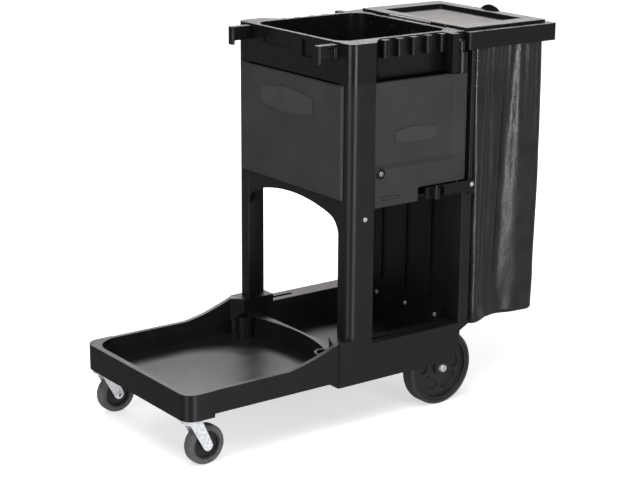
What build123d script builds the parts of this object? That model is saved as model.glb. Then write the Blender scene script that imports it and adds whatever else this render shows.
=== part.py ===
from build123d import *
import math
import os

# Housekeeping cart. Millimetres, +Z up, standing on z = 0, origin under the middle of the cart.
# X runs from the platform's front (-X) to the bag frame's rear (+X). -Y is the cart's left side.
# "Depth" in a name is measured inward from the side of the body.

# Overall
TOTAL_LENGTH = 1162.0
BODY_WIDTH = 496.0
RIM_HEIGHT = 990.0
CLEARANCE = 0.5
RUNNING_CLEARANCE = 0.05
SEAT_GAP = 0.3

# Base tray
PLATFORM_LENGTH = 480.0
TOWER_LENGTH = 400.0
CORNER_BOTTOM = 126.0
CORNER_BLOCK = 80.0
RAIL_BOTTOM = 134.0
BELLY_BOTTOM = 118.0
BELLY_START = 440.0
BELLY_SLOPE = 20.0
FLOOR_TOP = 140.0
FLOOR_THICKNESS = 5.0
FRONT_RIM_HEIGHT = 194.0
FOOT_HEIGHT = 238.0
FOOT_LENGTH = 103.0
SWEEP_LENGTH = 153.0
SWEEP_SAG = 5.5
SILL_HEIGHT = 218.0
RAIL_THICKNESS = 15.0
RAIL_RELIEF = 2.5
TRAY_LEDGE = 8.0
TRAY_LEDGE_HEIGHT = 178.0
TRAY_CORNER_RADIUS = 68.0
CORNER_RADIUS = 34.0
DIVIDER_RADIUS = 500.0
DIVIDER_BULGE = 19.0
DIVIDER_THICKNESS = 8.0
BEAM_WIDTH = 56.0
BEAM_WALL = 6.0
FENDER_THICKNESS = 4.0
FENDER_TAIL = 34.0
TAIL_RISE = 78.0
FENDER_ARC = 42.0
TAIL_LEAN = 6.0
REAR_WALL = 8.0
BAY_CORNER_RADIUS = 12.0
CUP_RADIUS = 25.0
CUP_HEIGHT = 197.0
CUP_WALL = 5.0
LEDGE_SLOT_LENGTH = 74.0
LEDGE_SLOT_GAP = 8.0
LEDGE_SLOT_WIDTH = 13.0
LEDGE_SLOT_DEPTH = 4.0
TENON_HEIGHT = 50.0

# Columns
COLUMN_WIDTH = 76.0
COLUMN_BOX = 38.0
COLUMN_DEPTH = 50.0
COLUMN_FLANGE = 10.0
COLUMN_WALL = 5.0
COLUMN_RADIUS = 22.0
COLUMN_CAVITY_RADIUS = 12.0
COLUMN_TOP = 890.0
REAR_COLUMN_DEPTH = 70.0
REAR_COLUMN_BOX = 34.0
REAR_FLANGE = 13.0

# Cabinet
CABINET_FLOOR_BOTTOM = 574.0
CABINET_FLOOR_THICKNESS = 8.0
LUG_WIDTH = 20.0
LUG_HEIGHT = 34.0
PANEL_BOTTOM = 597.0
PANEL_TOP = 886.0
PANEL_THICKNESS = 8.0
PANEL_INSET = 28.0
PANEL_EDGE_RADIUS = 6.0
ARCH_THICKNESS = 18.0
ARCH_SETBACK = 2.0
ARCH_CROWN = 576.0
ARCH_KNEE = 553.0
ARCH_SPRING = 505.0
REAR_PANEL_THICKNESS = 5.0
REAR_PANEL_LAP = 30.0
REAR_RIB = 5.0
REAR_RIB_PITCH = 105.0

# Doors
DOOR_GAP = 1.5
DOOR_BOTTOM = 573.0
DOOR_TOP = 887.0
DOOR_THICKNESS = 20.0
DOOR_SKIN = 5.0
DOOR_FACE_DEPTH = 7.0
DOOR_BEVEL = 9.0
DOOR_BORDER_BOTTOM = 105.0
DOOR_BORDER_REAR = 12.0
BARREL_RADIUS = 21.5
BARREL_SETBACK = 37.0
DOOR_NOTCH_LENGTH = 168.0
DOOR_NOTCH_TOP = 609.0
HINGE_PIN_RADIUS = 5.0
HINGE_PIN_ENGAGEMENT = 28.0
GROOVE_LENGTH = 62.0
GROOVE_HEIGHT = 11.0

# Lock
LOCK_INSET = 17.0
LOCK_HEIGHT = 660.0
LOCK_BEZEL_RADIUS = 14.0
LOCK_BEZEL_THICKNESS = 3.0
LOCK_BARREL_RADIUS = 9.5
LOCK_PLUG_RADIUS = 6.5
LOCK_BODY_LENGTH = 22.0
CAM_LENGTH = 34.0
CAM_WIDTH = 12.0
CAM_THICKNESS = 2.5

# Upper bin
BIN_FLOOR = 806.0
BIN_WALL = 4.0
BIN_FRONT_WALL = 12.0
BIN_REAR_RIM = 21.0
BIN_SIDE_RIM = 58.0
BIN_INNER_RADIUS = 42.0
RECESS_DEPTH = 44.0
RECESS_SLANT = 42.0
RECESS_REAR = 58.0
BOSS_HEIGHT = 50.0
DOME_RADIUS = 14.5
DOME_HEIGHT = 36.0
LABEL_LENGTH = 117.0
LABEL_HEIGHT = 20.0
LABEL_Z = 959.0
LABEL_OFFSET = 67.0
LABEL_DEPTH = 3.0
POCKET_LENGTH = 48.0
POCKET_HEIGHT = 42.0
POCKET_DEPTH = 6.0
POCKET_DROP = 12.0

# Tool rails, hooks and handle clips
COMB_TEETH = 5
TOOTH_WIDTH = 19.0
COMB_HEIGHT = 45.0
TOOTH_REACH = 20.0
COMB_BACK = 4.0
HOOK_WIDTH = 22.0
HOOK_REACH = 62.0
HOOK_INSET = 49.0
HOOK_DROP = 2.0
HOOK_THICKNESS = 8.0
HOOK_ARM = 36.0
HOOK_LIP = 47.0
HOOK_CORNER = 5.0
HOOK_GROOVE = 24.0
HOOK_GROOVE_DEPTH = 4.0
HANDLE_RADIUS = 12.5
CLIP_WALL = 4.5
CLIP_OFFSET = 12.75
CLIP_DISTANCE = 123.0
CLIP_MOUTH = 15.0
ARM_THICKNESS = 9.0
ARM_HEIGHT = 30.0
ARM_TOP = 605.0
BRACKET_HEIGHT = 38.0
BRACKET_LENGTH = 21.0
LUG_THICKNESS = 12.0

# Bag frame, lid and bag
FRAME_LENGTH = 303.0
FRAME_HEIGHT = 45.0
FRAME_TOP = 988.0
FRAME_INSET = 4.0
FRAME_WALL = 6.0
FRAME_FRONT_BAR = 25.0
FLANGE_WIDTH = 34.0
FLANGE_THICKNESS = 7.0
LID_THICKNESS = 7.0
LID_SHEET = 4.0
LID_SIDE_INSET = 30.0
LID_REAR_INSET = 14.0
LID_SETBACK = 6.0
LID_CORNER_RADIUS = 6.0
DISH_MARGIN_X = 38.0
DISH_MARGIN_Y = 52.0
DISH_DEPTH = 12.0
TAB_WIDTH = 76.0
TAB_HEIGHT = 14.0
TAB_THICKNESS = 5.0
KNUCKLE_RADIUS = 4.0
KNUCKLE_LENGTH = 30.0
KNUCKLE_SPREAD = 115.0
KNUCKLE_SETBACK = 5.0
FRAME_LUG_LENGTH = 12.0
ROD_RADIUS = 2.0
BAG_WALL = 2.5
BAG_BOTTOM = 208.0
BAG_CLEARANCE = 2.0
BAG_REAR_INSET = 29.0
BAG_RADIUS = 12.0

# Rear wheels
REAR_WHEEL_RADIUS = 101.6
REAR_WHEEL_WIDTH = 38.0
REAR_WHEEL_DEPTH = 7.0
REAR_WHEEL_SETBACK = 84.0
REAR_TYRE_THICKNESS = 10.0
REAR_RIM_THICKNESS = 9.0
REAR_WEB_THICKNESS = 9.0
REAR_HUB_RADIUS = 19.0
REAR_RECESSES = 5
REAR_RECESS_WIDTH = 26.0
REAR_RECESS_CIRCLE = 52.0
REAR_RECESS_ARC = 34.0
REAR_RECESS_DEPTH = 5.0
WHEEL_ARCH_CLEARANCE = 8.0
AXLE_RADIUS = 6.35
AXLE_END_REACH = 2.0
AXLE_EAR_WIDTH = 46.0
AXLE_EAR_THICKNESS = 10.0
PUSH_NUT_RADIUS = 10.0
PUSH_NUT_REACH = 6.0

# Front casters
CASTER_RADIUS = 50.8
CASTER_WIDTH = 30.0
CASTER_INSET = 34.0
CASTER_TRAIL = 34.0
CASTER_TYRE = 15.0
RACE_RADIUS = 27.0
RACE_THICKNESS = 7.0
STEM_RADIUS = 5.5
STEM_LENGTH = 40.0
KINGPIN_RADIUS = 5.0
KINGPIN_HEAD_RADIUS = 9.0
FORK_SHEET = 3.0
FORK_PLATE = 4.0
FORK_GAP = 2.0
FORK_END_RADIUS = 13.0
FORK_SHOULDER = 23.0
CASTER_BOLT_RADIUS = 4.0
BOLT_HEAD_RADIUS = 7.0
BOLT_HEAD_HEIGHT = 4.5
CASTER_HUB_RADIUS = 13.0

# Fasteners and blank plates
SCREW_RADIUS = 2.5
SCREW_HEAD_RADIUS = 6.0
SCREW_HEAD_HEIGHT = 2.5
COLUMN_SCREW_HEIGHT = 549.0
PANEL_SCREW_HEIGHT = 205.0
PANEL_SCREW_PITCH = 126.0
FRAME_BOLT_RADIUS = 4.0
FRAME_BOLT_HEAD = 7.0
FRAME_BOLT_SPREAD = 90.0
BADGE_THICKNESS = 2.0
FRONT_BADGE_LENGTH = 224.0
FRONT_BADGE_HEIGHT = 67.0
FRONT_BADGE_Z = 816.0
FRONT_BADGE_OFFSET = 10.0
DOOR_BADGE_LENGTH = 131.0
DOOR_BADGE_HEIGHT = 41.0
DOOR_BADGE_Z = 747.0
DOOR_BADGE_SETBACK = 133.0

# Places that follow from the sizes
FRONT = -TOTAL_LENGTH / 2
REAR = TOTAL_LENGTH / 2
LEFT = -BODY_WIDTH / 2
RIGHT = BODY_WIDTH / 2
TOWER_FRONT = FRONT + PLATFORM_LENGTH
TOWER_REAR = TOWER_FRONT + TOWER_LENGTH
FOOT_FRONT = TOWER_FRONT + COLUMN_WIDTH - FOOT_LENGTH
WHEEL_X = TOWER_REAR - REAR_WHEEL_SETBACK
HINGE_X = TOWER_REAR - BARREL_SETBACK
HINGE_Y = LEFT + BARREL_RADIUS
DOOR_FRONT = TOWER_FRONT + COLUMN_WIDTH + DOOR_GAP
REAR_PANEL_FRONT = TOWER_REAR - REAR_WALL - REAR_PANEL_THICKNESS
FRAME_FRONT = REAR - FRAME_LENGTH
FRAME_BOTTOM = FRAME_TOP - FRAME_HEIGHT
LID_FRONT = FRAME_FRONT + LID_SETBACK + KNUCKLE_SETBACK
LID_REAR = REAR - LID_REAR_INSET
LID_BOTTOM = FRAME_TOP + SEAT_GAP
LID_TOP = LID_BOTTOM + LID_THICKNESS
LID_AXIS_X = FRAME_FRONT + KNUCKLE_SETBACK
LID_AXIS_Z = FRAME_TOP + KNUCKLE_RADIUS + 1.0
CABINET_FLOOR_TOP = CABINET_FLOOR_BOTTOM + CABINET_FLOOR_THICKNESS
ARCH_FRONT = TOWER_FRONT + ARCH_SETBACK
ARCH_REAR = ARCH_FRONT + ARCH_THICKNESS
LOCK_X = DOOR_FRONT + LOCK_INSET
CASTER_X = FRONT + CASTER_INSET
CASTER_Y = LEFT + CASTER_INSET
CASTER_AXLE_X = CASTER_X + CASTER_TRAIL
RACE_BOTTOM = CORNER_BOTTOM - RACE_THICKNESS
PLATE_TOP = RACE_BOTTOM - SEAT_GAP
PLATE_BOTTOM = PLATE_TOP - FORK_PLATE
ARCH_RADIUS = REAR_WHEEL_RADIUS + WHEEL_ARCH_CLEARANCE
CAVITY_RADIUS = min(COLUMN_CAVITY_RADIUS, 0.45 * (COLUMN_BOX - 2 * COLUMN_WALL))


def block(x0, x1, y0, y1, z0, z1):
    """A box between two corners."""
    return Pos((x0 + x1) / 2, (y0 + y1) / 2, (z0 + z1) / 2) * Box(x1 - x0, y1 - y0, z1 - z0)


def rounded_block(x0, x1, y0, y1, z0, z1, radius):
    """A box whose upright edges are rounded."""
    plan = RectangleRounded(x1 - x0, y1 - y0, radius)
    return Pos((x0 + x1) / 2, (y0 + y1) / 2, z0) * extrude(plan, amount=z1 - z0)


def side_prism(outline, y0, y1):
    """A shape drawn from the side, in X and Z, carried from y0 to y1."""
    face = make_face(Plane.XZ * outline)
    return Pos(0, (y0 + y1) / 2, 0) * extrude(face, amount=(y1 - y0) / 2, both=True)


def plan_prism(points, z0, z1):
    """A shape drawn from above, in X and Y, carried from z0 to z1."""
    return Pos(0, 0, z0) * extrude(make_face(Polyline(*points, close=True)), amount=z1 - z0)


def front_prism(outline, x0, x1):
    """A shape drawn from the front, in Y and Z, carried from x0 to x1."""
    face = make_face(Plane.YZ * outline)
    return Pos((x0 + x1) / 2, 0, 0) * extrude(face, amount=(x1 - x0) / 2, both=True)


def upright(x, y, radius, z0, z1):
    """A round bar along Z."""
    return Pos(x, y, (z0 + z1) / 2) * Cylinder(radius, z1 - z0)


def crosswise(x, z, radius, y0, y1):
    """A round bar along Y."""
    return Pos(x, (y0 + y1) / 2, z) * Rot(90, 0, 0) * Cylinder(radius, y1 - y0)


def lengthwise(y, z, radius, x0, x1):
    """A round bar along X."""
    return Pos((x0 + x1) / 2, y, z) * Rot(0, 90, 0) * Cylinder(radius, x1 - x0)


def nearest_edges(part, axis, points):
    """The edges along an axis that pass nearest to the points."""
    along = part.edges().filter_by(axis)
    return [min(along, key=lambda edge: (edge.center() - Vector(*point)).length) for point in points]


def other_side(part):
    """The same piece on the cart's right side."""
    return mirror(part, about=Plane.XZ)


def both_sides(part):
    """The left piece and its right-hand twin as one group."""
    return Compound(children=[part, other_side(part)])


# ---------------------------------------------------------------- base tray
def base_outline():
    """The base seen from the side: low front, sweep up to the column foot, sill and fender."""
    sweep_start = FOOT_FRONT - SWEEP_LENGTH
    tail = TOWER_REAR - FENDER_TAIL
    lower = Polyline(
        (FRONT, FRONT_RIM_HEIGHT),
        (FRONT, CORNER_BOTTOM),
        (FRONT + CORNER_BLOCK, CORNER_BOTTOM),
        (FRONT + CORNER_BLOCK, RAIL_BOTTOM),
        (FRONT + BELLY_START - BELLY_SLOPE / 2, RAIL_BOTTOM),
        (FRONT + BELLY_START + BELLY_SLOPE / 2, BELLY_BOTTOM),
        (tail, BELLY_BOTTOM),
        (tail + TAIL_LEAN, BELLY_BOTTOM + TAIL_RISE),
        (TOWER_REAR, SILL_HEIGHT - REAR_WALL),
        (TOWER_REAR, SILL_HEIGHT),
        (FOOT_FRONT + FOOT_LENGTH, SILL_HEIGHT),
        (FOOT_FRONT + FOOT_LENGTH, FOOT_HEIGHT),
        (FOOT_FRONT, FOOT_HEIGHT),
    )
    middle = (sweep_start + SWEEP_LENGTH / 2, (FRONT_RIM_HEIGHT + FOOT_HEIGHT) / 2 - SWEEP_SAG)
    sweep = ThreePointArc((FOOT_FRONT, FOOT_HEIGHT), middle, (sweep_start, FRONT_RIM_HEIGHT))
    return lower + sweep + Line((sweep_start, FRONT_RIM_HEIGHT), (FRONT, FRONT_RIM_HEIGHT))


def front_pocket(inset, z0, z1):
    """The room inside the front tray, bulging back to the curved divider."""
    x0 = FRONT + RAIL_THICKNESS + inset
    x1 = TOWER_FRONT + TOWER_LENGTH / 2
    y0 = LEFT + RAIL_THICKNESS + inset
    room = rounded_block(x0, x1, y0, -y0, z0, z1, TRAY_CORNER_RADIUS - inset)
    centre = TOWER_FRONT + DIVIDER_BULGE - DIVIDER_RADIUS
    return room & upright(centre, 0, DIVIDER_RADIUS - inset / 2, z0, z1)


def axle_ears():
    """Two ears under the floor that carry the rear axle."""
    inner = LEFT + REAR_WHEEL_DEPTH + REAR_WHEEL_WIDTH + FORK_SHEET
    low = REAR_WHEEL_RADIUS - AXLE_EAR_WIDTH / 3
    half = AXLE_EAR_WIDTH / 2
    ear = block(WHEEL_X - half, WHEEL_X + half, inner, inner + AXLE_EAR_THICKNESS, low, FLOOR_TOP)
    corners = [(WHEEL_X + side * half, inner, low) for side in (-1, 1)]
    ear = fillet(nearest_edges(ear, Axis.Y, corners), half / 2)
    return ear + other_side(ear)


def column_tenons():
    """Blocks that stand up inside the hollow feet of the four columns."""
    wall = COLUMN_WALL + CLEARANCE
    front = rounded_block(
        TOWER_FRONT + wall, TOWER_FRONT + COLUMN_BOX - wall, LEFT + wall, LEFT + COLUMN_DEPTH - wall,
        FOOT_HEIGHT, FOOT_HEIGHT + TENON_HEIGHT, CAVITY_RADIUS)
    rear = block(
        TOWER_REAR - REAR_COLUMN_BOX + wall, TOWER_REAR - wall, LEFT + wall, LEFT + REAR_COLUMN_DEPTH - wall,
        SILL_HEIGHT, SILL_HEIGHT + TENON_HEIGHT)
    return [front, rear, other_side(front), other_side(rear)]


def make_base_tray():
    base = side_prism(base_outline(), LEFT, RIGHT)
    tail = (TOWER_REAR - FENDER_TAIL, 0, BELLY_BOTTOM)
    base = fillet(nearest_edges(base, Axis.Y, [tail]), FENDER_ARC)
    corners = [(FRONT, side * RIGHT, FRONT_RIM_HEIGHT) for side in (-1, 1)]
    base = fillet(nearest_edges(base, Axis.Z, corners), CORNER_RADIUS)
    high = FOOT_HEIGHT + 1
    base -= front_pocket(0, TRAY_LEDGE_HEIGHT, high)
    base -= front_pocket(TRAY_LEDGE, FLOOR_TOP, high)
    inner = LEFT + BEAM_WIDTH
    bay_front = TOWER_FRONT + DIVIDER_BULGE + DIVIDER_THICKNESS
    bay_rear = TOWER_REAR - REAR_WALL
    base -= rounded_block(bay_front, bay_rear, inner, -inner, FLOOR_TOP, high, BAY_CORNER_RADIUS)
    base -= block(FOOT_FRONT, bay_front + BAY_CORNER_RADIUS, inner, -inner, FRONT_RIM_HEIGHT, high)
    under = FLOOR_TOP - FLOOR_THICKNESS
    rail_inner = LEFT + RAIL_THICKNESS + TRAY_LEDGE
    belly = FRONT + BELLY_START
    base -= block(FRONT + CORNER_BLOCK, belly, rail_inner, -rail_inner, 0, under)
    base -= block(
        FRONT + RAIL_THICKNESS + TRAY_LEDGE, FRONT + CORNER_BLOCK + 1, LEFT + CORNER_BLOCK,
        RIGHT - CORNER_BLOCK, 0, under)
    base -= block(belly + RAIL_THICKNESS, bay_rear, inner, -inner, 0, under)
    base += block(bay_rear - 2 * FENDER_TAIL, TOWER_REAR, inner, -inner, under, FLOOR_TOP)
    base += block(bay_rear, TOWER_REAR, inner, -inner, under, SILL_HEIGHT)
    for side in (-1, 1):
        wall = sorted((side * inner, side * (inner - BEAM_WALL)))
        base += block(bay_rear - 2 * FENDER_TAIL, TOWER_REAR, *wall, under, SILL_HEIGHT)
    deck = SILL_HEIGHT - BEAM_WALL - LEDGE_SLOT_DEPTH
    well_front = WHEEL_X - ARCH_RADIUS
    well_inner = LEFT + REAR_WHEEL_DEPTH + REAR_WHEEL_WIDTH + FORK_SHEET
    foot_roof = FOOT_HEIGHT - 2 * BEAM_WALL
    for side in (-1, 1):
        well = [LEFT + FENDER_THICKNESS, well_inner]
        hollow = [LEFT + BEAM_WALL, inner - BEAM_WALL]
        relief = [LEFT - 1, LEFT + RAIL_RELIEF]
        if side > 0:
            well = [-value for value in reversed(well)]
            hollow = [-value for value in reversed(hollow)]
            relief = [-value for value in reversed(relief)]
        base -= block(well_front, TOWER_REAR + 1, *well, 0, deck)
        base -= block(TOWER_FRONT, FOOT_FRONT + FOOT_LENGTH - BEAM_WALL, *hollow, 0, foot_roof)
        base -= block(FOOT_FRONT + FOOT_LENGTH, well_front - BEAM_WALL, *hollow, 0, deck)
        base -= block(FRONT + CORNER_BLOCK, FOOT_FRONT, *relief, 0, high)
        slot = SlotOverall(LEDGE_SLOT_LENGTH, LEDGE_SLOT_WIDTH)
        x = FOOT_FRONT + FOOT_LENGTH + LEDGE_SLOT_GAP + LEDGE_SLOT_LENGTH / 2
        y = side * (RIGHT - BEAM_WIDTH / 2)
        base -= Pos(x, y, SILL_HEIGHT - LEDGE_SLOT_DEPTH) * extrude(slot, amount=LEDGE_SLOT_DEPTH * 2)
        stem_hole = STEM_RADIUS + RUNNING_CLEARANCE
        base -= upright(CASTER_X, side * CASTER_Y, stem_hole, 0, CORNER_BOTTOM + STEM_LENGTH)
    cup_x = TOWER_FRONT - CUP_RADIUS
    cup_y = RIGHT - BEAM_WIDTH - CUP_RADIUS / 2
    for side in (-1, 1):
        base += upright(cup_x, side * cup_y, CUP_RADIUS, FLOOR_TOP - 1, CUP_HEIGHT)
        base -= upright(cup_x, side * cup_y, CUP_RADIUS - CUP_WALL, FLOOR_TOP, CUP_HEIGHT + 1)
    base += axle_ears()
    for tenon in column_tenons():
        base += tenon
    base -= crosswise(WHEEL_X, REAR_WHEEL_RADIUS, AXLE_RADIUS + RUNNING_CLEARANCE, LEFT - 1, RIGHT + 1)
    for x, y in panel_screw_places():
        base -= lengthwise(y, PANEL_SCREW_HEIGHT, SCREW_RADIUS, TOWER_REAR - REAR_WALL - 1, TOWER_REAR + 1)
    return base


def panel_screw_places():
    """Where three screws hold the rear panel to the base's rear wall."""
    return [(REAR_PANEL_FRONT, step * PANEL_SCREW_PITCH) for step in (-1, 0, 1)]


# ---------------------------------------------------------------- columns
def make_front_column():
    x0 = TOWER_FRONT
    corners = [
        (x0, LEFT), (x0 + COLUMN_WIDTH, LEFT), (x0 + COLUMN_WIDTH, LEFT + COLUMN_FLANGE),
        (x0 + COLUMN_BOX, LEFT + COLUMN_FLANGE), (x0 + COLUMN_BOX, LEFT + COLUMN_DEPTH),
        (x0, LEFT + COLUMN_DEPTH)]
    column = plan_prism(corners, FOOT_HEIGHT, COLUMN_TOP)
    middle = (FOOT_HEIGHT + COLUMN_TOP) / 2
    column = fillet(nearest_edges(column, Axis.Z, [(x0, LEFT, middle)]), COLUMN_RADIUS)
    small = [(x0, LEFT + COLUMN_DEPTH, middle), (x0 + COLUMN_BOX, LEFT + COLUMN_DEPTH, middle)]
    column = fillet(nearest_edges(column, Axis.Z, small), COLUMN_WALL * 0.8)
    wall = COLUMN_WALL
    column -= rounded_block(
        x0 + wall, x0 + COLUMN_BOX - wall, LEFT + wall, LEFT + COLUMN_DEPTH - wall, FOOT_HEIGHT - 1,
        COLUMN_TOP + 1, CAVITY_RADIUS)
    flange = LEFT + COLUMN_FLANGE
    return column - crosswise(column_screw_x(), COLUMN_SCREW_HEIGHT, SCREW_RADIUS, LEFT - 1, flange + 1)


def column_screw_x():
    """The screw through a front column's flange, into the cabinet floor's lug."""
    return TOWER_FRONT + COLUMN_BOX + LUG_WIDTH / 2


def make_rear_column():
    x1 = TOWER_REAR
    seat = ARM_TOP - LUG_THICKNESS
    lower = block(x1 - REAR_COLUMN_BOX, x1, LEFT, LEFT + REAR_COLUMN_DEPTH, SILL_HEIGHT, seat)
    lower = fillet(nearest_edges(lower, Axis.Z, [(x1, LEFT, seat / 2)]), COLUMN_WALL)
    behind_door = LEFT + 2 * BARREL_RADIUS + COLUMN_WALL
    middle = block(x1 - REAR_COLUMN_BOX, x1, behind_door, LEFT + REAR_COLUMN_DEPTH, seat, COLUMN_TOP)
    upper = block(x1 - REAR_FLANGE, x1, LEFT, LEFT + REAR_COLUMN_DEPTH, seat, FRAME_BOTTOM)
    upper = fillet(nearest_edges(upper, Axis.Z, [(x1, LEFT, seat)]), COLUMN_WALL)
    column = lower + middle + upper
    wall = COLUMN_WALL
    return column - block(
        x1 - REAR_COLUMN_BOX + wall, x1 - wall, LEFT + wall, LEFT + REAR_COLUMN_DEPTH - wall,
        SILL_HEIGHT - 1, seat - wall)


# ---------------------------------------------------------------- cabinet
def make_front_arch():
    """The beam between the front columns, with an arched lower edge and rounded corners."""
    half = RIGHT - COLUMN_DEPTH
    knee = half * 0.8
    middle = (half * 0.93, (2 * ARCH_KNEE + ARCH_SPRING) / 3)
    outline = Polyline((-half, ARCH_SPRING), (-half, PANEL_BOTTOM), (half, PANEL_BOTTOM), (half, ARCH_SPRING))
    outline += ThreePointArc((half, ARCH_SPRING), middle, (knee, ARCH_KNEE))
    outline += ThreePointArc((knee, ARCH_KNEE), (0, ARCH_CROWN), (-knee, ARCH_KNEE))
    outline += ThreePointArc((-knee, ARCH_KNEE), (-middle[0], middle[1]), (-half, ARCH_SPRING))
    return front_prism(outline, ARCH_FRONT, ARCH_REAR)


def make_cabinet_floor():
    """The cabinet's floor, with a screw lug at each front column."""
    bottom = CABINET_FLOOR_BOTTOM
    top = CABINET_FLOOR_TOP
    inner = LEFT + REAR_COLUMN_DEPTH + CLEARANCE
    floor = block(ARCH_REAR, REAR_PANEL_FRONT, inner, -inner, bottom, top)
    outer = LEFT + DOOR_THICKNESS + 4 * DOOR_GAP
    front = TOWER_FRONT + COLUMN_BOX + CLEARANCE
    rear = TOWER_REAR - REAR_COLUMN_BOX - CLEARANCE
    floor += block(front, rear, outer, -outer, bottom, top)
    for side in (-1, 1):
        lug = [LEFT + COLUMN_FLANGE, outer + DOOR_THICKNESS]
        hole = [LEFT, outer]
        if side > 0:
            lug = [-value for value in reversed(lug)]
            hole = [-value for value in reversed(hole)]
        floor += block(front, front + LUG_WIDTH, *lug, top - LUG_HEIGHT - CABINET_FLOOR_THICKNESS, bottom + 1)
        floor -= crosswise(column_screw_x(), COLUMN_SCREW_HEIGHT, SCREW_RADIUS, *hole)
    return floor


def make_front_panel():
    inset = LEFT + PANEL_INSET
    panel = block(TOWER_FRONT - PANEL_THICKNESS, TOWER_FRONT, inset, -inset, PANEL_BOTTOM, PANEL_TOP)
    outer = panel.faces().sort_by(Axis.X)[0].edges()
    return fillet(outer, PANEL_EDGE_RADIUS)


def make_rear_panel():
    """The wall between the rear columns, with upright ribs, screwed to the base."""
    inner = LEFT + REAR_COLUMN_DEPTH
    low = SILL_HEIGHT - REAR_PANEL_LAP
    back = REAR_PANEL_FRONT + REAR_PANEL_THICKNESS
    panel = block(REAR_PANEL_FRONT, back, inner, -inner, low, FRAME_BOTTOM)
    for step in (-1, 0, 1):
        y = step * REAR_RIB_PITCH
        panel += block(
            REAR_PANEL_FRONT - REAR_RIB, REAR_PANEL_FRONT + 1, y - REAR_RIB / 2, y + REAR_RIB / 2,
            SILL_HEIGHT + REAR_PANEL_LAP, CABINET_FLOOR_BOTTOM - REAR_RIB)
    for x, y in panel_screw_places():
        panel -= lengthwise(y, PANEL_SCREW_HEIGHT, SCREW_RADIUS, x - 1, back + 1)
    return panel


# ---------------------------------------------------------------- doors and locks
def make_door():
    """A pan-shaped door with a hinge barrel at its rear edge and a notch for the handle clip."""
    top = DOOR_TOP
    door = block(DOOR_FRONT, HINGE_X, LEFT, LEFT + DOOR_THICKNESS, DOOR_BOTTOM, top)
    notch_front = HINGE_X + BARREL_RADIUS - DOOR_NOTCH_LENGTH
    back = LEFT + DOOR_THICKNESS + 1
    door -= block(notch_front, HINGE_X + 1, LEFT - 1, back, DOOR_BOTTOM - 1, DOOR_NOTCH_TOP)
    corners = [(notch_front, LEFT + DOOR_THICKNESS / 2, z) for z in (DOOR_NOTCH_TOP, DOOR_BOTTOM)]
    door = fillet(nearest_edges(door, Axis.Y, corners), DOOR_BEVEL / 2)
    flat_rear = HINGE_X - BARREL_RADIUS - DOOR_BORDER_REAR
    flat_bottom = DOOR_BOTTOM + DOOR_BORDER_BOTTOM
    deep = LEFT + DOOR_FACE_DEPTH
    slant = DOOR_BEVEL / DOOR_FACE_DEPTH
    upright_cut = plan_prism(
        [(DOOR_FRONT - 1, LEFT - 1), (flat_rear + DOOR_BEVEL + slant, LEFT - 1), (flat_rear, deep),
         (DOOR_FRONT - 1, deep)], DOOR_BOTTOM, top + 1)
    level_cut = front_prism(
        Polyline((LEFT - 1, top + 1), (LEFT - 1, flat_bottom - DOOR_BEVEL - slant), (deep, flat_bottom),
                 (deep, top + 1), close=True), DOOR_FRONT - 2, HINGE_X)
    door -= upright_cut & level_cut
    inside = LEFT + DOOR_FACE_DEPTH + DOOR_SKIN
    edge = DOOR_FRONT + DOOR_SKIN
    pan_rear = HINGE_X - BARREL_RADIUS
    pan = block(edge, pan_rear, inside, back, DOOR_NOTCH_TOP + DOOR_SKIN, top - DOOR_SKIN)
    door -= pan - lock_pad()
    door += upright(HINGE_X, HINGE_Y, BARREL_RADIUS, DOOR_NOTCH_TOP, top)
    for end, inward in ((top, -1), (DOOR_NOTCH_TOP, 1)):
        z0, z1 = sorted((end - inward, end + inward * (HINGE_PIN_ENGAGEMENT + 2)))
        door -= upright(HINGE_X, HINGE_Y, HINGE_PIN_RADIUS + RUNNING_CLEARANCE, z0, z1)
    door -= crosswise(LOCK_X, LOCK_HEIGHT, LOCK_BARREL_RADIUS, LEFT - 1, LEFT + DOOR_THICKNESS + 1)
    groove = SlotOverall(GROOVE_LENGTH, GROOVE_HEIGHT) - SlotOverall(GROOVE_LENGTH - 5, GROOVE_HEIGHT - 5)
    groove = Plane.XZ * groove
    place = Pos(LOCK_X + GROOVE_LENGTH / 2, LEFT + 1.5, DOOR_BOTTOM + 2 * GROOVE_HEIGHT)
    return door - place * extrude(groove, amount=3)


def lock_pad():
    """The solid round the lock, where the door keeps its full thickness."""
    return crosswise(LOCK_X, LOCK_HEIGHT, LOCK_BARREL_RADIUS + DOOR_SKIN, LEFT, LEFT + DOOR_THICKNESS + 2)


def make_lock_housing():
    outer = LEFT - LOCK_BEZEL_THICKNESS
    housing = crosswise(LOCK_X, LOCK_HEIGHT, LOCK_BEZEL_RADIUS, outer, LEFT)
    rim = housing.faces().sort_by(Axis.Y)[0].edges()
    housing = fillet(rim, LOCK_BEZEL_THICKNESS * 0.6)
    housing += crosswise(LOCK_X, LOCK_HEIGHT, LOCK_BARREL_RADIUS, LEFT - 1, LEFT + LOCK_BODY_LENGTH)
    return housing - crosswise(
        LOCK_X, LOCK_HEIGHT, LOCK_PLUG_RADIUS + RUNNING_CLEARANCE, outer - 1, LEFT + LOCK_BODY_LENGTH + 1)


def make_lock_plug():
    """The keyed plug, with its key slot upright."""
    face = LEFT - LOCK_BEZEL_THICKNESS - 1
    back = LEFT + LOCK_BODY_LENGTH + SEAT_GAP
    plug = crosswise(LOCK_X, LOCK_HEIGHT, LOCK_PLUG_RADIUS, face, back)
    slot = block(LOCK_X - 0.8, LOCK_X + 0.8, face - 1, face + 5, LOCK_HEIGHT - 4, LOCK_HEIGHT + 4)
    return plug - slot


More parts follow.
